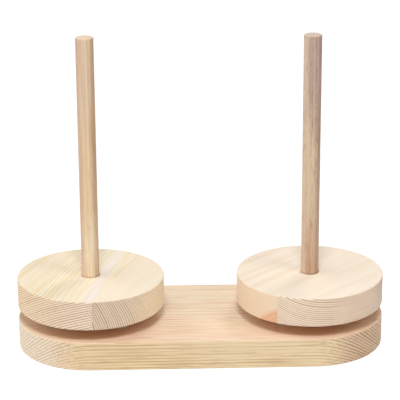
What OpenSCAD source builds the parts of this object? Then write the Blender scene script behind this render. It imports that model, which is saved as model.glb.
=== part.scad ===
// Double yarn holder: a board with round ends carries two wooden discs, each with an upright
// spindle for a ball or cone of yarn. Each disc turns freely on a flat ball bearing.
// Millimetres. The origin is at the middle of the board's underside, +X runs along the board
// and +Z points up.

/* [Base board] */
// Length of the board, end to end
base_length = 250; // [230:1:400]
// Width of the board, which is also the diameter of its round ends
base_width = 100; // [90:1:130]
// Thickness of the board
base_thick = 20; // [15:0.5:40]
// Radius of the eased edges of the board
base_ease = 0.8; // [0.3:0.1:3]

/* [Discs] */
// Diameter of each disc
disc_diameter = 100; // [76:1:140]
// Thickness of each disc
disc_thick = 20; // [16:0.5:40]
// Radius of the eased edges of each disc
disc_ease = 0.8; // [0.3:0.1:3]
// Direction of the grain and the glue joint of the left disc, in degrees from +X
left_grain_angle = 70; // [30:1:90]
// Distance of the left disc's glue joint from its axis
left_joint_offset = 19; // [8:0.5:40]
// Direction of the grain and the glue joint of the right disc, in degrees from +X
right_grain_angle = 45; // [30:1:90]
// Distance of the right disc's glue joint from its axis
right_joint_offset = 13; // [8:0.5:40]

/* [Spindles] */
// Diameter of each spindle
spindle_diameter = 12; // [8:0.5:16]
// Length of each spindle, with the end that is glued in
spindle_length = 180; // [100:1:300]
// Radius of the eased rim at each spindle's top
spindle_ease = 0.9; // [0.2:0.1:2.5]
// Step in radius from each spindle to the foot that is glued in
spindle_foot_step = 0.25; // [0.2:0.05:1]
// Length of the foot that stands out of the socket
spindle_foot_reveal = 0.3; // [0.1:0.1:1]
// Chamfer at the glued end of each spindle
spindle_foot_chamfer = 1; // [0.2:0.1:2.5]
// Depth of the blind socket in the disc
socket_depth = 13; // [8:0.5:15.5]
// Radial room for glue around the foot in its socket
socket_clearance = 0.05; // [0.02:0.01:0.3]
// Chamfer at the mouth of the socket
socket_chamfer = 0.8; // [0.2:0.1:2]

/* [Bearing plates] */
// Height of the bearing, which is the gap between the board and a disc
bearing_height = 9; // [7.6:0.1:12]
// Side of the square plates
plate_side = 52; // [48:0.5:64]
// Radius of the corners of the square plates
plate_corner = 6; // [2:0.5:10]
// Thickness of the sheet
plate_sheet = 1; // [0.8:0.1:1.4]
// Distance of the screw holes from the edges of the plate
plate_hole_inset = 5.5; // [4.5:0.1:6]
// Gap between the raised middles of the two plates
web_gap = 2.6; // [2:0.1:3.2]
// Width of the flat ring around the foot of the raised middle
web_foot = 0.8; // [0.4:0.1:1.4]
// Distance from that flat ring to the sides of the plate
web_margin = 1; // [0.6:0.1:2]

/* [Balls] */
// Diameter of the balls
ball_diameter = 4; // [3:0.1:4.6]
// Number of balls in each bearing
ball_count = 20; // [8:1:24]
// Distance of the ball circle from the edge of the raised middle
race_inset = 5; // [3:0.1:6.5]
// Radial clearance between a ball and its race
race_clearance = 0.05; // [0.02:0.01:0.09]
// Thickness of the cage between the plates
cage_thick = 0.6; // [0.4:0.1:1]
// Width of the cage ring
cage_width = 6; // [5.2:0.1:7]
// Radial clearance between a ball and its hole in the cage
cage_clearance = 0.08; // [0.04:0.01:0.2]

/* [Eyelets] */
// Outer diameter of the eyelet's sleeve
eyelet_diameter = 18; // [12:0.5:20]
// Wall of the sleeve and thickness of its flanges
eyelet_wall = 0.8; // [0.5:0.1:1]
// Width of the flanges
eyelet_flange = 2; // [1:0.1:3]
// Radial running clearance between the sleeve and the plates
eyelet_clearance = 0.05; // [0.02:0.01:0.09]
// End play between the upper flange and the upper plate
eyelet_end_play = 0.1; // [0.05:0.01:0.3]

/* [Screws] */
// Length of the screws under the head
screw_length = 12; // [8:0.5:14]
// Diameter over the thread
screw_diameter = 3.5; // [2.6:0.1:4]
// Diameter of the core inside the thread
screw_core = 2.3; // [1.6:0.1:3]
// Distance between two threads
screw_pitch = 1.4; // [1:0.1:2]
// Length of the screw's point
screw_point = 2.6; // [1.5:0.1:4]
// Diameter of the pan head
head_diameter = 6.4; // [5:0.1:6.8]
// Height of the pan head
head_height = 2.1; // [1.6:0.1:2.4]
// Height of the straight rim of the pan head
head_rim = 1; // [0.5:0.1:1.4]
// Length of each arm of the cross recess, tip to tip
recess_span = 3.4; // [2.4:0.1:4]
// Width of each arm of the cross recess
recess_width = 0.8; // [0.5:0.1:1.2]
// Depth of the cross recess
recess_depth = 1.1; // [0.6:0.1:1.4]
// Radial clearance between a screw and its hole
hole_clearance = 0.05; // [0.02:0.01:0.2]
// Room under the point of a screw
hole_end_room = 0.6; // [0.2:0.1:2]
// Diameter of the hole in the board through which a driver reaches the disc's screws
access_diameter = 10; // [8:0.5:12]

/* [Hidden] */
$fn = 96;

// Sides of the board, as signs along X
left = -1;
right = 1;

// The discs stand over the centres of the board's round ends
axis_x = (base_length - base_width) / 2;
disc_z = base_thick + bearing_height;
disc_top_z = disc_z + disc_thick;
spindle_radius = spindle_diameter / 2;
foot_radius = spindle_radius - spindle_foot_step;
foot_length = socket_depth + spindle_foot_reveal;
socket_radius = foot_radius + socket_clearance;
plate_mid = bearing_height / 2;
plate_hole_spacing = plate_side - 2 * plate_hole_inset;
// Circle of the plate's holes, on which the disc's screws pass over the access hole
hole_circle = plate_hole_spacing / sqrt(2);
web_rise = plate_mid - web_gap / 2 - plate_sheet;
web_radius = plate_side / 2 - web_margin - web_foot - web_rise;
// How far a 45 degree bend in the sheet shifts its other face
bend_shift = plate_sheet * tan(22.5);
race_radius = web_radius - race_inset;
ball_radius = ball_diameter / 2;
groove_radius = ball_radius + race_clearance;
eyelet_radius = eyelet_diameter / 2;
plate_bore = eyelet_radius + eyelet_clearance;
hole_radius = screw_diameter / 2 + hole_clearance;
hole_depth = screw_length - plate_sheet + hole_end_room;
// Share of the pitch that each flank of a thread takes
thread_flank = 0.3;
// Overshoot of a cutting shape past the face that it cuts
cut = 1;

base_colour = [0.93, 0.76, 0.58];
left_wide_colour = [0.96, 0.87, 0.68];
left_narrow_colour = [0.95, 0.85, 0.72];
right_wide_colour = [0.95, 0.87, 0.77];
right_narrow_colour = [0.93, 0.84, 0.72];
left_spindle_colour = [0.84, 0.68, 0.50];
right_spindle_colour = [0.78, 0.62, 0.48];
plate_colour = [0.74, 0.75, 0.76];
ball_colour = [0.85, 0.86, 0.88];
cage_colour = [0.80, 0.78, 0.66];
eyelet_colour = [0.68, 0.69, 0.70];
screw_colour = [0.78, 0.74, 0.62];

function by_side(side, on_left, on_right) = side == left ? on_left : on_right;

module at_axis(side) {
    translate([side * axis_x, 0, 0])
        children();
}

// Half section of a board from its middle out to an edge with two eased corners
module eased_half(reach, thick, ease) {
    square([reach - ease, thick]);
    translate([0, ease])
        square([reach, thick - 2 * ease]);
    for (y = [ease, thick - ease])
        translate([reach - ease, y])
            circle(ease);
}

// Places a child at each of the four screw holes of a plate
module at_plate_holes() {
    half = plate_hole_spacing / 2;
    for (x = [-half, half], y = [-half, half])
        translate([x, y, 0])
            children();
}

module base_board() {
    color(base_colour)
        difference() {
            union() {
                for (side = [left, right])
                    at_axis(side)
                        rotate(-90 * side)
                            rotate_extrude(angle = 180)
                                eased_half(base_width / 2, base_thick, base_ease);
                for (turn = [-90, 90])
                    rotate([90, 0, turn])
                        linear_extrude(2 * axis_x, center = true)
                            eased_half(base_width / 2, base_thick, base_ease);
            }
            for (side = [left, right])
                at_axis(side) {
                    translate([0, 0, base_thick - hole_depth])
                        at_plate_holes()
                            cylinder(hole_depth + cut, r = hole_radius);
                    translate([-side * hole_circle, 0, -cut])
                        cylinder(base_thick + 2 * cut, d = access_diameter);
                }
        }
}

// Whole disc with its spindle socket and the screw holes for the bearing's upper plate
module disc() {
    difference() {
        translate([0, 0, disc_z])
            rotate_extrude()
                eased_half(disc_diameter / 2, disc_thick, disc_ease);
        translate([0, 0, disc_top_z - socket_depth])
            cylinder(socket_depth + cut, r = socket_radius);
        translate([0, 0, disc_top_z - socket_chamfer])
            cylinder(socket_chamfer + cut, socket_radius, socket_radius + socket_chamfer + cut);
        translate([0, 0, disc_z - cut])
            at_plate_holes()
                cylinder(hole_depth + cut, r = hole_radius);
    }
}

// Block that holds all of a disc on the spindle's side of its glue joint
module joint_block(side) {
    reach = disc_diameter;
    offset = by_side(side, left_joint_offset, right_joint_offset);
    rotate(by_side(side, left_grain_angle, right_grain_angle))
        translate([-reach, -offset, disc_z - cut])
            cube([2 * reach, reach + offset, disc_thick + 2 * cut]);
}

module wide_stave(side) {
    color(by_side(side, left_wide_colour, right_wide_colour))
        at_axis(side)
            intersection() {
                disc();
                joint_block(side);
            }
}

module narrow_stave(side) {
    color(by_side(side, left_narrow_colour, right_narrow_colour))
        at_axis(side)
            difference() {
                disc();
                joint_block(side);
            }
}

// Plain dowel whose thinner foot stands on the floor of its socket
module spindle(side) {
    shoulder = spindle_length - spindle_ease;
    color(by_side(side, left_spindle_colour, right_spindle_colour))
        at_axis(side)
            translate([0, 0, disc_top_z - socket_depth])
                rotate_extrude() {
                    polygon([
                        [0, 0],
                        [foot_radius - spindle_foot_chamfer, 0],
                        [foot_radius, spindle_foot_chamfer],
                        [foot_radius, foot_length],
                        [spindle_radius, foot_length],
                        [spindle_radius, shoulder],
                        [0, shoulder]
                    ]);
                    square([spindle_radius - spindle_ease, spindle_length]);
                    translate([spindle_radius - spindle_ease, shoulder])
                        intersection() {
                            circle(spindle_ease);
                            square(spindle_ease);
                        }
                }
}

module plate_outline() {
    inner = plate_side - 2 * plate_corner;
    square([inner, plate_side], center = true);
    square([plate_side, inner], center = true);
    for (x = [-inner / 2, inner / 2], y = [-inner / 2, inner / 2])
        translate([x, y])
            circle(plate_corner);
}

// Half section of the sheet: raised middle, pressed ball groove and a 45 degree step to the foot
module web_half() {
    foot = web_radius + web_rise;
    web_top = web_rise + plate_sheet;
    difference() {
        union() {
            polygon([
                [plate_bore, web_rise],
                [web_radius, web_rise],
                [foot, 0],
                [foot + web_foot, 0],
                [foot + web_foot, plate_sheet],
                [foot + bend_shift, plate_sheet],
                [web_radius + bend_shift, web_top],
                [plate_bore, web_top]
            ]);
            intersection() {
                translate([race_radius, plate_mid])
                    circle(groove_radius + plate_sheet);
                translate([plate_bore, 0])
                    square([web_radius - plate_bore, web_top]);
            }
        }
        translate([race_radius, plate_mid])
            circle(groove_radius);
    }
}

// Stamped plate lying on z = 0 with its raised middle up
module plate() {
    difference() {
        union() {
            rotate_extrude()
                web_half();
            difference() {
                linear_extrude(plate_sheet)
                    plate_outline();
                translate([0, 0, -cut])
                    cylinder(plate_sheet + 2 * cut, r = web_radius + web_rise + web_foot / 2);
            }
        }
        translate([0, 0, -cut])
            at_plate_holes()
                cylinder(plate_sheet + 2 * cut, r = hole_radius);
    }
}

module lower_plate(side) {
    color(plate_colour)
        at_axis(side)
            translate([0, 0, base_thick])
                plate();
}

module upper_plate(side) {
    color(plate_colour)
        at_axis(side)
            translate([0, 0, disc_z])
                mirror([0, 0, 1])
                    plate();
}

// Places a child at each ball of the ring
module at_balls() {
    for (i = [0 : ball_count - 1])
        rotate(360 * i / ball_count)
            translate([race_radius, 0, 0])
                children();
}

module balls(side) {
    color(ball_colour)
        at_axis(side)
            translate([0, 0, base_thick + plate_mid])
                at_balls()
                    sphere(ball_radius);
}

module cage(side) {
    color(cage_colour)
        at_axis(side)
            translate([0, 0, base_thick + plate_mid - cage_thick / 2])
                difference() {
                    cylinder(cage_thick, r = race_radius + cage_width / 2);
                    translate([0, 0, -cut]) {
                        cylinder(cage_thick + 2 * cut, r = race_radius - cage_width / 2);
                        at_balls()
                            cylinder(cage_thick + 2 * cut, r = ball_radius + cage_clearance);
                    }
                }
}

// Flanged sleeve: its lower flange seats under the lower plate, its upper one runs over the upper
module eyelet(side) {
    low = web_rise - eyelet_wall;
    high = bearing_height - web_rise + eyelet_end_play;
    color(eyelet_colour)
        at_axis(side)
            translate([0, 0, base_thick + low])
                rotate_extrude()
                    translate([eyelet_radius - eyelet_wall, 0]) {
                        square([eyelet_wall, high - low + eyelet_wall]);
                        for (y = [0, high - low])
                            translate([0, y])
                                square([eyelet_wall + eyelet_flange, eyelet_wall]);
                    }
}

// Radius of the crown over a pan head
function crown_radius() =
    let (rise = head_height - head_rim, half = head_diameter / 2)
        (half * half + rise * rise) / (2 * rise);

// Half outline of the shank below the head, with each thread as a ring
function shank_points() =
    let (
        core = screw_core / 2,
        crest = screw_diameter / 2,
        start = plate_sheet + screw_pitch / 2,
        rings = floor((screw_length - screw_point - start) / screw_pitch)
    )
        concat(
            [[0, 0], [core, 0]],
            [for (i = [0 : rings - 1], point = [[core, 0], [crest, thread_flank], [core, 2 * thread_flank]])
                [point[0], -start - (i + point[1]) * screw_pitch]],
            [[core, screw_point - screw_length], [0, -screw_length]]
        );

// Pan-head screw whose head seats on z = 0 and whose point is down
module screw() {
    difference() {
        rotate_extrude() {
            intersection() {
                square([head_diameter / 2, head_height]);
                translate([0, head_height - crown_radius()])
                    circle(crown_radius());
            }
            polygon(shank_points());
        }
        for (turn = [0, 90])
            rotate(turn)
                translate([-recess_span / 2, -recess_width / 2, head_height - recess_depth])
                    cube([recess_span, recess_width, recess_depth + cut]);
    }
}

module base_screws(side) {
    color(screw_colour)
        at_axis(side)
            translate([0, 0, base_thick + plate_sheet])
                at_plate_holes()
                    screw();
}

module disc_screws(side) {
    color(screw_colour)
        at_axis(side)
            translate([0, 0, disc_z - plate_sheet])
                mirror([0, 0, 1])
                    at_plate_holes()
                        screw();
}

base_board();
wide_stave(left);  // left_disc_wide_stave
narrow_stave(left);  // left_disc_narrow_stave
spindle(left);  // left_spindle
wide_stave(right);  // right_disc_wide_stave
narrow_stave(right);  // right_disc_narrow_stave
spindle(right);  // right_spindle
lower_plate(left);  // left_bearing_lower_plate
upper_plate(left);  // left_bearing_upper_plate
balls(left);  // left_bearing_balls
cage(left);  // left_bearing_cage
eyelet(left);  // left_bearing_eyelet
base_screws(left);  // left_base_screws
disc_screws(left);  // left_disc_screws
lower_plate(right);  // right_bearing_lower_plate
upper_plate(right);  // right_bearing_upper_plate
balls(right);  // right_bearing_balls
cage(right);  // right_bearing_cage
eyelet(right);  // right_bearing_eyelet
base_screws(right);  // right_base_screws
disc_screws(right);  // right_disc_screws
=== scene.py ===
"""Looks of the double yarn holder: wood, metal, floor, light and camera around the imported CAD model.

Every wooden piece is cut from a solid block of wood that is worked out in its own grain space:
rings round a pith line, so that the faces, edges and ends of one board agree with each other.
Colours are given as they look in daylight, each channel from 0 to 255.
"""
from dataclasses import dataclass
import math

import bpy
from mathutils import Matrix, Vector


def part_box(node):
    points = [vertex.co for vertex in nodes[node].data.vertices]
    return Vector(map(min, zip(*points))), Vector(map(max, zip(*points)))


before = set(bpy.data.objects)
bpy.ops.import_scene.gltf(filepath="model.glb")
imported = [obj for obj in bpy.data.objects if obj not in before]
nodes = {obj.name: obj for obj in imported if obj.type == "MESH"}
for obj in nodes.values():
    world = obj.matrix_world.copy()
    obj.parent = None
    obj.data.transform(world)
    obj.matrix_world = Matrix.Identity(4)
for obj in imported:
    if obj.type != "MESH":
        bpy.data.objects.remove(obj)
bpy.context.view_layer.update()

MM = 0.001
WHITE = (255, 255, 255)
NOISE_SPAN = (0.3, 0.7)      # nearly all of a noise lies between these values
NOISE_MIDDLE = 0.5

# Camera that was fitted to the photograph, with its angles in radians
IMAGE_SIZE = 400
SENSOR_MM = 36
FOCAL_PIXELS = 1842.75
CAMERA_PLACE = (-30.6 * MM, -1172.45 * MM, 517.78 * MM)
CAMERA_YAW = -0.0262
CAMERA_PITCH = 0.3407
CAMERA_ROLL = -0.006
CLIP_START = 10 * MM

# Lamps and floor
LAMP_DISTANCE = 1500 * MM
LAMP_TARGET = (0, 0, 60 * MM)
FLOOR_REACH = 6000 * MM      # from its middle to each side
FLOOR_DROP = 0.2 * MM        # how far it lies below the object
FLOOR_PAPER = 0.9            # share of the light that it sends back to the object
FLOOR_SHADED = 0.42          # share of the light that the camera sees on it, which keeps the shadow
FLOOR_GLOW = 0.77            # light that is added for the camera, which makes the rest white

# Finish of the woods: roughness where the fibres' noise is low and high, and depth of the relief
WOOD_SPECULAR = 0.3
SOFTWOOD_ROUGHNESS = (0.52, 0.68)
SOFTWOOD_RELIEF = 0.03 * MM
HARDWOOD_ROUGHNESS = (0.48, 0.66)
HARDWOOD_RELIEF = 0.05 * MM
LINE_RELIEF = 0.5            # share of the yearly lines in softwood's relief
FIBRE_RELIEF = 0.8           # share of its fibres

# Faces: a normal that points up by less than the first is upright, and by more than the second flat
UPRIGHT = 0.3
FLAT = 0.7

# Places in one year of softwood, from 0 to 1, at which its dark line rises and falls
RISE_START = 0.9             # less the board's share of late wood
RISE_END = 0.84
FALL_START = 0.93
PALEST_YEAR = 0.5            # depth of the weakest line
UNEVEN_SCALE = 0.12          # waves per mm of radius that make the years uneven
UNEVEN_YEARS = 0.8           # how many years they shift the rings by at most

# Details of softwood
NARROW_WOBBLE = 0.25         # share of a board's wobble that its narrow waves have
BROKEN_LINE = 0.2            # share of a yearly line that is left where it breaks
CLOUD_SHARE = 0.4
SHARE_ON_END = 0.25          # share of the bands and clouds that shows on end grain
STRIPE_BLUR = 0.3            # softness of the pale stripe's borders, in half widths
PLAIN_REACH = 4              # half widths from its middle to where the yearly lines are back
PLAIN_SHARE = 0.85           # share of the yearly lines that is missing in the stripe

# Details of hardwood
HEIGHT_SWING = 70            # how far the drift moves the changes of colour, in mm up the spindle
SIDE_SWING = 6               # and sideways
DARK_LAYERS = (0.38, 0.5)    # noise values between which the dark layers fade out
LAYER_SHARE = 0.35
END_SHARE = 0.85
LEAST_PORES = 0.3            # share of the pores outside their patches

# Details of metal
METAL_STAIN_SCALE = 90       # waves per metre
METAL_STAIN_SHOWS = (0.4, 0.7)
METAL_STAIN_SHARE = 0.5
METAL_SMOOTHER = 0.08        # how far the roughness swings down
METAL_ROUGHER = 0.1          # and up


def linear(colour):
    """Linear RGBA of an sRGB colour whose channels go from 0 to 255."""
    channels = []
    for channel in colour:
        share = channel / 255
        low = share <= 0.04045
        channels.append(share / 12.92 if low else ((share + 0.055) / 1.055) ** 2.4)
    return (*channels, 1.0)


def grey(level):
    """Linear RGBA of a grey that throws back this share of the light."""
    return (level, level, level, 1.0)


@dataclass
class Pattern:
    """Noise that is drawn in wood, in millimetres of the wood's own space."""
    squeeze: tuple             # factor on X, Y and Z: below 1, the noise is drawn out along that axis
    scale: float               # waves per mm
    shows: tuple = (0.0, 1.0)  # noise values between which it fades in
    detail: float = 2.0
    roughness: float = 0.5


# Patterns of softwood, whose fibres run along X
WIDE_WAVES = Pattern((0.2, 1, 1), 0.03)
NARROW_WAVES = Pattern((0.2, 1, 1), 0.15)
LINE_BREAKS = Pattern((0.03, 1, 1), 0.45, shows=(0.3, 0.62), detail=1.0)
FIBRES = Pattern((0.02, 1, 1), 1.6, shows=(0.42, 0.75), detail=3.0, roughness=0.6)
DASHES = Pattern((0.03, 1, 1), 1.2, shows=(0.58, 0.68), detail=1.0)
BANDS = Pattern((0.03, 1, 1), 0.15, shows=(0.45, 0.65))
CLOUDS = Pattern((0.3, 1, 1), 0.045, shows=(0.35, 0.7))

# Patterns of hardwood, whose fibres run along Z
DRIFT = Pattern((1, 1, 0.12), 0.18)
LAYERS = Pattern((1, 0.35, 0.012), 0.55, shows=(0.5, 0.62), detail=3.0, roughness=0.6)
PORES = Pattern((1, 1, 0.05), 2.4, shows=(0.54, 0.66), roughness=0.7)
PORE_PATCHES = Pattern((1, 1, 0.1), 0.25, shows=(0.35, 0.6), detail=1.0)


class Graph:
    """A node tree, with short ways to add the nodes used here."""

    def __init__(self, tree):
        self.tree = tree

    def node(self, kind, inputs=None, **settings):
        made = self.tree.nodes.new(kind)
        for key, setting in settings.items():
            setattr(made, key, setting)
        for key, given in (inputs or {}).items():
            self.feed(made.inputs[key], given)
        return made

    def feed(self, socket, given):
        """Links another node's output to a socket, or sets the socket's value."""
        if isinstance(given, bpy.types.NodeSocket):
            self.tree.links.new(given, socket)
        else:
            socket.default_value = given

    def coordinates(self, kind):
        return self.node("ShaderNodeTexCoord").outputs[kind]

    def split(self, vector):
        return self.node("ShaderNodeSeparateXYZ", {0: vector}).outputs

    def dot(self, a, b):
        return self.node("ShaderNodeVectorMath", {0: a, 1: b}, operation="DOT_PRODUCT").outputs["Value"]

    def math(self, operation, a, b=0.0):
        return self.node("ShaderNodeMath", {0: a, 1: b}, operation=operation).outputs[0]

    def rescale(self, value, low, high, to_low=0.0, to_high=1.0, smooth=True):
        """Maps low..high of a value to to_low..to_high, held at both ends."""
        inputs = {"Value": value, "From Min": low, "From Max": high, "To Min": to_low, "To Max": to_high}
        kind = "SMOOTHSTEP" if smooth else "LINEAR"
        return self.node("ShaderNodeMapRange", inputs, interpolation_type=kind).outputs["Result"]

    def mix(self, share, a, b):
        """Colour between a and b. The mixer's colours are its inputs 6 and 7 and its output 2."""
        mixer = self.node("ShaderNodeMix", {0: share, 6: a, 7: b}, data_type="RGBA", clamp_result=True)
        return mixer.outputs[2]

    def noise(self, vector, scale, detail=2.0, roughness=0.5):
        inputs = {"Vector": vector, "Scale": scale, "Detail": detail, "Roughness": roughness}
        return self.node("ShaderNodeTexNoise", inputs).outputs["Fac"]

    def pattern(self, point, pattern):
        """Noise of a pattern at a point of the wood's own space."""
        inputs = {0: point, 1: pattern.squeeze}
        place = self.node("ShaderNodeVectorMath", inputs, operation="MULTIPLY").outputs[0]
        return self.noise(place, pattern.scale, pattern.detail, pattern.roughness)

    def shown(self, noise, pattern, most=1.0, least=0.0):
        """Share in which a pattern shows, from least where its noise is low to most where it is high."""
        return self.rescale(noise, *pattern.shows, least, most)


class Surface(Graph):
    """A new material's node tree, with its shader."""

    def __init__(self, name):
        self.material = bpy.data.materials.new(name)
        self.material.use_nodes = True
        super().__init__(self.material.node_tree)
        self.shader = self.tree.nodes["Principled BSDF"]

    def bump(self, height, distance):
        inputs = {"Height": height, "Distance": distance}
        self.feed(self.shader.inputs["Normal"], self.node("ShaderNodeBump", inputs).outputs["Normal"])


def wood_space(graph, origin, grain_degrees):
    """Point in millimetres from origin: X along the grain, Y across it to the left, Z up."""
    inputs = {
        "Vector": graph.coordinates("Object"), "Location": origin,
        "Rotation": (0, 0, math.radians(grain_degrees)), "Scale": (MM, MM, MM),
    }
    return graph.node("ShaderNodeMapping", inputs, vector_type="TEXTURE").outputs[0]


def end_grain(graph, direction, low, high):
    """1 where a face cuts the fibres across, 0 where it runs along them."""
    along = graph.dot(graph.coordinates("Normal"), direction)
    return graph.rescale(graph.math("ABSOLUTE", along), low, high)


def sanded_wood(graph, colour, noise, roughness, relief, depth):
    """Finish of sanded bare wood, whose roughness follows the noise of its fibres."""
    graph.feed(graph.shader.inputs["Base Color"], colour)
    graph.feed(graph.shader.inputs["Roughness"], graph.rescale(noise, *NOISE_SPAN, *roughness))
    graph.shader.inputs["Specular IOR Level"].default_value = WOOD_SPECULAR
    graph.bump(relief, depth)
    return graph.material


@dataclass
class Board:
    """One piece of softwood: how it lies in its trunk, and what its wood looks like."""
    name: str
    origin: tuple              # point on its underside that its grain is measured from
    grain: float               # direction of the fibres, in degrees from +X
    pith: tuple                # middle of the trunk: mm to the left of the fibres, and mm up
    growth: float              # mm² that the squared radius of the trunk gains in a year
    top: tuple                 # early and late wood of its upper face
    edge: tuple                # early and late wood of upright faces along the fibres
    under: tuple               # early and late wood of its underside
    end: tuple                 # across the fibres: early wood at the left, at the right, and late wood
    tint: tuple                # colour of faint clouds
    band: tuple                # colour of wide bands along the fibres
    dash: tuple                # colour of short fine streaks
    face_line: float = 0.6     # strength of the yearly lines along the fibres
    end_lines: tuple = (1, 1)  # their strength on the end grain, at the left and at the right
    late: float = 0.4          # share of each year that is late wood
    fine: float = 1.8          # how much finer its lines are along the fibres
    taper: float = 0.0         # growth of the rings' radius along the fibres
    wobble: float = 1.0        # how far the rings wander, in mm
    streaks: float = 0.3       # strength of the fibres
    bands: float = 0.3         # strength of the wide bands
    dashes: float = 0.15       # strength of the short streaks
    inner: tuple = None        # radius and softness of the inner wood, and its early and late colours
    inner_on_end: float = 1.0  # strength of the inner wood on the end grain
    pale: tuple = None         # radius and half width of a pale stripe along the fibres, its colour


def ring_radius(graph, point, board):
    """Distance from the pith line, in millimetres, with the wobble of a grown ring."""
    x, y, z = graph.split(point)
    across = graph.math("SUBTRACT", y, board.pith[0])
    up = graph.math("SUBTRACT", z, board.pith[1])
    squares = graph.math("ADD", graph.math("MULTIPLY", across, across), graph.math("MULTIPLY", up, up))
    radius = graph.math("ADD", graph.math("SQRT", squares), graph.math("MULTIPLY", x, board.taper))
    for pattern, depth in ((WIDE_WAVES, board.wobble), (NARROW_WAVES, NARROW_WOBBLE * board.wobble)):
        wave = graph.math("SUBTRACT", graph.pattern(point, pattern), NOISE_MIDDLE)
        radius = graph.math("ADD", radius, graph.math("MULTIPLY", wave, depth))
    return radius


def latewood(graph, board, radius, sharpness):
    """Dark line of each year: rises over the ring and ends sharply. No two years are alike."""
    along_radius = graph.node("ShaderNodeCombineXYZ", {"X": radius}).outputs[0]
    uneven = graph.noise(along_radius, UNEVEN_SCALE, detail=1.0)
    rings = graph.math("DIVIDE", graph.math("MULTIPLY", radius, radius), board.growth)
    rings = graph.math("ADD", rings, graph.math("MULTIPLY", uneven, UNEVEN_YEARS))
    share = graph.math("FRACT", rings)
    rise = graph.rescale(share, RISE_START - board.late, RISE_END)
    fall = graph.rescale(share, FALL_START, 1.0, 1.0, 0.0)
    line = graph.math("MULTIPLY", rise, fall)
    year = graph.math("FLOOR", rings)
    chance = graph.node("ShaderNodeTexWhiteNoise", {"W": year}, noise_dimensions="1D").outputs["Value"]
    depth = graph.rescale(chance, 0.0, 1.0, PALEST_YEAR, 1.0, smooth=False)
    return graph.math("MULTIPLY", graph.math("POWER", line, sharpness), depth)


def face_colour(graph, board, kind):
    """Colour of early (kind 0) or late (kind 1) wood on the faces that run along the fibres."""
    facing_up = graph.split(graph.coordinates("Normal"))[2]
    upper = graph.rescale(facing_up, UPRIGHT, FLAT)
    beneath = graph.rescale(facing_up, -FLAT, -UPRIGHT, 1.0, 0.0)
    colour = graph.mix(upper, linear(board.edge[kind]), linear(board.top[kind]))
    return graph.mix(beneath, colour, linear(board.under[kind]))


def board_colours(graph, board, end, side):
    """Early and late wood on all faces, with the end grain's change from left to right."""
    end_left, end_right, end_late = (linear(colour) for colour in board.end)
    early = graph.mix(end, face_colour(graph, board, 0), graph.mix(side, end_left, end_right))
    late = graph.mix(end, face_colour(graph, board, 1), end_late)
    return early, late


def with_inner_wood(graph, board, radius, end, early, late):
    """Early and late wood, with other colours inside a radius, as heartwood has."""
    limit, softness, inner_early, inner_late = board.inner
    inside = graph.rescale(radius, limit - softness, limit + softness, 1.0, 0.0)
    inside = graph.math("MULTIPLY", inside, graph.rescale(end, 0.0, 1.0, 1.0, board.inner_on_end))
    return graph.mix(inside, early, linear(inner_early)), graph.mix(inside, late, linear(inner_late))


def line_strength(graph, board, point, end, side):
    """How strongly the yearly lines show: broken along the fibres, whole on the end grain."""
    on_end = graph.rescale(side, 0.0, 1.0, *board.end_lines, smooth=False)
    breaks = graph.pattern(point, LINE_BREAKS)
    on_face = graph.shown(breaks, LINE_BREAKS, board.face_line, BROKEN_LINE * board.face_line)
    return graph.mix(end, on_face, on_end)


def with_stripe(graph, board, radius, along, early, line_share):
    """Early wood with a pale stripe along the fibres, and yearly lines that fade out towards it."""
    middle, half_width, pale_colour = board.pale
    away = graph.math("ABSOLUTE", graph.math("SUBTRACT", radius, middle))
    inner, outer = (1 - STRIPE_BLUR) * half_width, (1 + STRIPE_BLUR) * half_width
    stripe = graph.math("MULTIPLY", graph.rescale(away, inner, outer, 1.0, 0.0), along)
    early = graph.mix(stripe, early, linear(pale_colour))
    plain = graph.rescale(away, half_width, PLAIN_REACH * half_width, PLAIN_SHARE, 0.0)
    kept = graph.math("SUBTRACT", 1.0, graph.math("MULTIPLY", plain, along))
    return early, graph.math("MULTIPLY", line_share, kept)


def with_patterns(graph, board, point, end, along, colour):
    """Colour with short fine streaks, wide bands and faint clouds drawn over it."""
    dashes = graph.shown(graph.pattern(point, DASHES), DASHES, board.dashes)
    colour = graph.mix(graph.math("MULTIPLY", dashes, along), colour, linear(board.dash))
    soft = graph.rescale(end, 0.0, 1.0, 1.0, SHARE_ON_END)
    for pattern, most, drawn in ((BANDS, board.bands, board.band), (CLOUDS, CLOUD_SHARE, board.tint)):
        share = graph.shown(graph.pattern(point, pattern), pattern, most)
        colour = graph.mix(graph.math("MULTIPLY", share, soft), colour, linear(drawn))
    return colour


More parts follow.
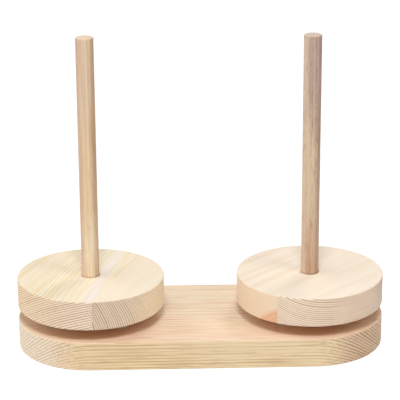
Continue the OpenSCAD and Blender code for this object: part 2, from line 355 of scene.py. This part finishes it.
def softwood(board, left, right):
    """Sanded bare softwood of one board, which reaches from left to right along X.

    end is 1 on end grain, along is 1 on faces that run along the fibres, and side goes from 0 at
    the left to 1 at the right.
    """
    graph = Surface(board.name)
    point = wood_space(graph, board.origin, board.grain)
    side = graph.rescale(graph.split(graph.coordinates("Object"))[0], left, right, smooth=False)
    turn = math.radians(board.grain)
    end = end_grain(graph, (math.cos(turn), math.sin(turn), 0), low=0.1, high=0.6)
    along = graph.math("SUBTRACT", 1.0, end)
    radius = ring_radius(graph, point, board)
    line = latewood(graph, board, radius, graph.rescale(end, 0.0, 1.0, board.fine, 1.0))

    early, late = board_colours(graph, board, end, side)
    if board.inner:
        early, late = with_inner_wood(graph, board, radius, end, early, late)
    line_share = graph.math("MULTIPLY", line, line_strength(graph, board, point, end, side))
    if board.pale:
        early, line_share = with_stripe(graph, board, radius, along, early, line_share)
    colour = graph.mix(line_share, early, late)
    fibres = graph.pattern(point, FIBRES)
    colour = graph.mix(graph.shown(fibres, FIBRES, board.streaks), colour, late)
    colour = with_patterns(graph, board, point, end, along, colour)

    line_relief = graph.math("MULTIPLY", line, LINE_RELIEF)
    relief = graph.math("ADD", line_relief, graph.math("MULTIPLY", fibres, FIBRE_RELIEF))
    return sanded_wood(graph, colour, fibres, SOFTWOOD_ROUGHNESS, relief, SOFTWOOD_RELIEF)


@dataclass
class Dowel:
    """One spindle's hardwood, with painted light and shade on its sides. Left and right are its sides
    where it stands at rest.
    """
    name: str
    axis_x: float
    low: tuple                 # colour at its foot
    middle: tuple              # colour halfway up
    high: tuple                # colour at its top
    left: tuple                # painted light and shade of its side towards -X: shade on the left spindle, light on the right one
    right: tuple               # painted shade of its side towards +X
    light: tuple               # colour of thin light layers
    dark: tuple                # colour of thin dark layers
    pore: tuple                # colour of the pores
    end: tuple                 # colour of the end grain on its top
    pore_shares: tuple         # strength of the pores at the foot and at the top
    to_middle: tuple = (55, 115)     # heights in mm between which the foot's colour fades out
    to_high: tuple = (130, 185)      # heights in mm between which the top's colour fades in
    pore_heights: tuple = (90, 170)  # heights in mm between which the pores' strength changes
    left_side_painted_shading: tuple = (-5.5, -1.5, 0.75, 0.0)  # two places in mm from the axis between which the painted light and shade of the -X side fades out, its share at each
    right_side_painted_shading: tuple = (1, 5.5, 0.0, 0.85)     # the same for the painted shade of the +X side


def dowel_colours(graph, dowel, point):
    """Colour that changes up the spindle and drifts on the way, with painted light and shade towards its
    sides.
    """
    x, _, z = graph.split(point)
    swing = graph.math("SUBTRACT", graph.pattern(point, DRIFT), NOISE_MIDDLE)
    height = graph.math("ADD", z, graph.math("MULTIPLY", swing, HEIGHT_SWING))
    colour = graph.mix(graph.rescale(height, *dowel.to_middle), linear(dowel.low), linear(dowel.middle))
    colour = graph.mix(graph.rescale(height, *dowel.to_high), colour, linear(dowel.high))
    across = graph.math("ADD", x, graph.math("MULTIPLY", swing, SIDE_SWING))
    # painted light and shade of the sides, as they stand at rest
    colour = graph.mix(graph.rescale(across, *dowel.left_side_painted_shading), colour, linear(dowel.left))
    return graph.mix(graph.rescale(across, *dowel.right_side_painted_shading), colour, linear(dowel.right))


def with_layers(graph, dowel, point, colour):
    """Colour with the thin light and dark layers of a stick that is cut along its fibres."""
    layers = graph.pattern(point, LAYERS)
    colour = graph.mix(graph.shown(layers, LAYERS, LAYER_SHARE), colour, linear(dowel.light))
    return graph.mix(graph.rescale(layers, *DARK_LAYERS, LAYER_SHARE, 0.0), colour, linear(dowel.dark))


def with_pores(graph, dowel, point, pores, colour):
    """Colour with short dark pores, which stand in patches and change in strength up the spindle."""
    height = graph.split(point)[2]
    strength = graph.rescale(height, *dowel.pore_heights, *dowel.pore_shares)
    share = graph.math("MULTIPLY", graph.shown(pores, PORES), strength)
    patches = graph.shown(graph.pattern(point, PORE_PATCHES), PORE_PATCHES, least=LEAST_PORES)
    return graph.mix(graph.math("MULTIPLY", share, patches), colour, linear(dowel.pore))


def hardwood(dowel):
    """Sanded bare hardwood whose grain runs up the spindle."""
    graph = Surface(dowel.name)
    point = wood_space(graph, (dowel.axis_x, 0, 0), 0)
    end = end_grain(graph, (0, 0, 1), low=0.5, high=0.9)
    pores = graph.pattern(point, PORES)
    colour = dowel_colours(graph, dowel, point)
    colour = with_layers(graph, dowel, point, colour)
    colour = with_pores(graph, dowel, point, pores, colour)
    colour = graph.mix(graph.math("MULTIPLY", end, END_SHARE), colour, linear(dowel.end))
    return sanded_wood(graph, colour, pores, HARDWOOD_ROUGHNESS, pores, HARDWOOD_RELIEF)


def metal(name, colour, stain, roughness, grain, bump=0.01):
    """Plated or bright steel: faint stains, and a grain in waves per metre whose bumps are in mm."""
    graph = Surface(name)
    place = graph.coordinates("Object")
    rough = graph.noise(place, grain, detail=4.0, roughness=0.6)
    clouds = graph.noise(place, METAL_STAIN_SCALE)
    stained = graph.rescale(clouds, *METAL_STAIN_SHOWS, 0.0, METAL_STAIN_SHARE)
    graph.feed(graph.shader.inputs["Base Color"], graph.mix(stained, linear(colour), linear(stain)))
    graph.shader.inputs["Metallic"].default_value = 1.0
    worn = graph.rescale(rough, *NOISE_SPAN, roughness - METAL_SMOOTHER, roughness + METAL_ROUGHER)
    graph.feed(graph.shader.inputs["Roughness"], worn)
    graph.bump(rough, bump * MM)
    return graph.material


def finish_nodes(names, material):
    """Gives CAD nodes one material."""
    for name in names:
        slots = nodes[name].data.materials
        slots.clear()
        slots.append(material)


def middle_x(node):
    """Place of a node's middle along X."""
    low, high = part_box(node)
    return (low.x + high.x) / 2


def finish_boards():
    """Softwood of the base and of both boards of each disc."""
    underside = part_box("left_disc_wide_stave")[0].z
    left_origin = (middle_x("left_spindle"), 0, underside)
    right_origin = (middle_x("right_spindle"), 0, underside)
    # The discs' undersides are darker and redder than their tops: painted shade that deepens and reddens
    # the shadow in the gap beneath them.
    left_under_painted_shade = ((220, 160, 110), (186, 124, 80))
    right_under_painted_shade = ((220, 160, 114), (188, 128, 86))
    boards = {
        "base_board": Board(
            "base_pine", (0, 0, 0), grain=0, pith=(28, 74), growth=294,
            top=((252, 227, 202), (224, 168, 128)), edge=((243, 220, 176), (176, 130, 84)),
            under=((246, 222, 180), (190, 148, 102)),
            end=((255, 238, 212), (238, 206, 172), (128, 74, 48)),
            tint=(252, 230, 197), band=(240, 209, 167), dash=(168, 120, 76),
            face_line=1.0, end_lines=(0.45, 1.0), late=0.55, fine=3.0,
            streaks=0.45, bands=0.35, dashes=0.5,
            inner=(74, 5, (255, 239, 214), (236, 182, 142)), inner_on_end=0.35),
        "left_disc_wide_stave": Board(
            "left_disc_pine", left_origin, grain=66, pith=(-38, -85), growth=330,
            top=((253, 241, 215), (222, 184, 130)), edge=((255, 234, 200), (226, 184, 138)),
            under=left_under_painted_shade, end=((255, 226, 186), (255, 236, 222), (124, 64, 40)),
            tint=(253, 238, 212), band=(242, 213, 160), dash=(234, 200, 148),
            face_line=0.8, end_lines=(0.75, 1.0), taper=-0.06, wobble=0.8, bands=0.45,
            pale=(109.0, 1.1, (250, 241, 230))),
        "left_disc_narrow_stave": Board(
            "left_stave_pine", left_origin, grain=70, pith=(33, -11), growth=153,
            top=((253, 240, 217), (240, 214, 178)), edge=((255, 236, 202), (246, 206, 158)),
            under=left_under_painted_shade, end=((241, 215, 188), (255, 235, 202), (108, 70, 52)),
            tint=(251, 234, 210), band=(250, 224, 188), dash=(240, 208, 166),
            face_line=0.4, end_lines=(1.0, 0.3), late=0.6, streaks=0.2),
        "right_disc_wide_stave": Board(
            "right_disc_pine", right_origin, grain=45, pith=(-36, -37), growth=271,
            top=((251, 238, 219), (234, 206, 172)), edge=((255, 234, 204), (232, 196, 158)),
            under=right_under_painted_shade, end=((245, 221, 192), (248, 224, 196), (232, 198, 162)),
            tint=(252, 235, 216), band=(242, 216, 186), dash=(238, 208, 172),
            face_line=0.35, end_lines=(0.3, 0.4), bands=0.6,
            inner=(52.5, 1.8, (240, 188, 150), (220, 162, 122))),
        "right_disc_narrow_stave": Board(
            "right_stave_pine", right_origin, grain=45, pith=(-46, 76), growth=200,
            top=((251, 238, 220), (234, 208, 178)), edge=((232, 204, 176), (214, 180, 150)),
            under=right_under_painted_shade, end=((252, 232, 208), (238, 212, 184), (172, 130, 102)),
            tint=(252, 236, 218), band=(247, 223, 194), dash=(238, 210, 176),
            face_line=0.4, end_lines=(1.0, 0.8), late=0.5, bands=0.5),
    }
    for node, board in boards.items():
        low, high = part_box(node)
        finish_nodes([node], softwood(board, low.x, high.x))


def finish_spindles():
    """Hardwood of both spindles."""
    # Each spindle's left and right colours are painted light and shade of its sides where it stands at
    # rest.
    left = Dowel(
        "left_spindle_wood", middle_x("left_spindle"),
        low=(255, 234, 204), middle=(232, 202, 160), high=(228, 200, 172),
        left=(208, 171, 145), right=(184, 148, 115), light=(244, 220, 184), dark=(206, 170, 134),
        pore=(176, 140, 108), end=(230, 208, 180), pore_shares=(0.3, 0.3))
    right = Dowel(
        "right_spindle_wood", middle_x("right_spindle"),
        low=(206, 166, 138), middle=(218, 192, 160), high=(190, 164, 150),
        left=(224, 198, 172), right=(176, 144, 121), light=(226, 200, 172), dark=(170, 138, 118),
        pore=(110, 80, 68), end=(210, 188, 172), pore_shares=(0.45, 0.8))
    finish_nodes(["left_spindle"], hardwood(left))
    finish_nodes(["right_spindle"], hardwood(right))


def finish_metal():
    """Steel of the bearings and their screws."""
    zinc = metal("zinc_plate", (200, 192, 178), (178, 170, 156), roughness=0.46, grain=2200)
    ball = metal("ball_steel", (224, 226, 230), (214, 216, 220), roughness=0.12, grain=900, bump=0.001)
    cage = metal("cage_steel", (214, 206, 168), (196, 188, 160), roughness=0.34, grain=2600)
    eyelet = metal("eyelet_steel", (196, 198, 202), (176, 176, 180), roughness=0.3, grain=1800)
    screw = metal("screw_steel", (216, 204, 158), (200, 186, 150), roughness=0.32, grain=2400)
    for side in ("left", "right"):
        finish_nodes([f"{side}_bearing_lower_plate", f"{side}_bearing_upper_plate"], zinc)
        finish_nodes([f"{side}_bearing_balls"], ball)
        finish_nodes([f"{side}_bearing_cage"], cage)
        finish_nodes([f"{side}_bearing_eyelet"], eyelet)
        finish_nodes([f"{side}_base_screws", f"{side}_disc_screws"], screw)


def seen_directly(graph):
    """1 for rays from the camera or from shiny and clear surfaces, which show the background."""
    rays = graph.node("ShaderNodeLightPath").outputs
    mirrored = graph.math("MAXIMUM", rays["Is Glossy Ray"], rays["Is Transmission Ray"])
    return graph.math("MAXIMUM", rays["Is Camera Ray"], mirrored)


def floor_white():
    """Pale paper to the object. To the camera, a shadow on plain white."""
    graph = Surface("floor_white")
    graph.tree.nodes.remove(graph.shader)
    paper = graph.node("ShaderNodeBsdfDiffuse", {"Color": grey(FLOOR_PAPER)}).outputs[0]
    shaded = graph.node("ShaderNodeBsdfDiffuse", {"Color": grey(FLOOR_SHADED)}).outputs[0]
    glow = graph.node("ShaderNodeEmission", {"Color": linear(WHITE), "Strength": FLOOR_GLOW}).outputs[0]
    shown = graph.node("ShaderNodeAddShader", {0: shaded, 1: glow}).outputs[0]
    chooser = graph.node("ShaderNodeMixShader", {0: seen_directly(graph), 1: paper, 2: shown})
    graph.feed(graph.tree.nodes["Material Output"].inputs["Surface"], chooser.outputs[0])
    return graph.material


def make_floor():
    """White floor that keeps the object's shadow and otherwise shows as white."""
    signs = ((-1, -1), (1, -1), (1, 1), (-1, 1))
    corners = [(x * FLOOR_REACH, y * FLOOR_REACH, -FLOOR_DROP) for x, y in signs]
    mesh = bpy.data.meshes.new("floor")
    mesh.from_pydata(corners, [], [(0, 1, 2, 3)])
    mesh.materials.append(floor_white())
    floor = bpy.data.objects.new("floor", mesh)
    bpy.context.scene.collection.objects.link(floor)


def make_world(ambient, bright_side, bright_from, bright_level):
    """Soft light with a white backdrop behind the object.

    The light is ambient round the room, and rises to bright_level towards bright_side, from where
    the cosine of the angle between the two is bright_from.
    """
    world = bpy.data.worlds.new("studio")
    world.use_nodes = True
    bpy.context.scene.world = world
    graph = Graph(world.node_tree)
    facing = graph.dot(graph.coordinates("Generated"), Vector(bright_side).normalized())
    room = graph.rescale(facing, bright_from, 1.0, ambient, bright_level)
    level = graph.rescale(seen_directly(graph), 0.0, 1.0, room, 1.0, smooth=False)
    background = graph.tree.nodes["Background"]
    graph.feed(background.inputs["Color"], linear(WHITE))
    graph.feed(background.inputs["Strength"], level)


def add_softbox(name, azimuth, elevation, size, level):
    """Round lamp that faces the object and lights a surface square to it at the given level."""
    across, up = math.radians(azimuth), math.radians(elevation)
    ray = Vector((math.cos(up) * math.cos(across), math.cos(up) * math.sin(across), math.sin(up)))
    lamp = bpy.data.lights.new(name, "AREA")
    lamp.shape = "DISK"
    lamp.size = size
    lamp.energy = level * math.pi ** 2 * LAMP_DISTANCE ** 2
    softbox = bpy.data.objects.new(name, lamp)
    bpy.context.scene.collection.objects.link(softbox)
    softbox.location = Vector(LAMP_TARGET) + ray * LAMP_DISTANCE
    softbox.rotation_euler = ray.to_track_quat("Z", "Y").to_euler()


def make_lights():
    """Softboxes round the object. Azimuth is measured from +X towards the back."""
    add_softbox("back_softbox", azimuth=57, elevation=54, size=0.45, level=0.17)
    add_softbox("front_softbox", azimuth=267, elevation=57, size=0.5, level=0.505)
    add_softbox("right_softbox", azimuth=325, elevation=40, size=0.8, level=0.22)


def make_camera():
    """Camera at the photograph's viewpoint: yaw, then pitch, then roll of a level view along +Y."""
    level = Matrix(((1, 0, 0), (0, 0, -1), (0, 1, 0)))
    sight = (Matrix.Rotation(CAMERA_ROLL, 3, "Z") @ Matrix.Rotation(CAMERA_PITCH, 3, "X")
             @ Matrix.Rotation(CAMERA_YAW, 3, "Y") @ level)
    right, down, ahead = sight
    turn = Matrix((right, -down, -ahead)).transposed()
    lens = bpy.data.cameras.new("camera")
    lens.sensor_width = SENSOR_MM
    lens.lens = FOCAL_PIXELS * SENSOR_MM / IMAGE_SIZE
    lens.clip_start = CLIP_START
    camera = bpy.data.objects.new("camera", lens)
    camera.matrix_world = Matrix.Translation(CAMERA_PLACE) @ turn.to_4x4()
    bpy.context.scene.collection.objects.link(camera)
    bpy.context.scene.camera = camera


make_camera()
finish_boards()
finish_spindles()
finish_metal()
make_floor()
make_world(ambient=0.02, bright_side=(-1, 0, 0.4), bright_from=0.4, bright_level=1.36)
make_lights()
bpy.context.scene.view_settings.view_transform = "Standard"
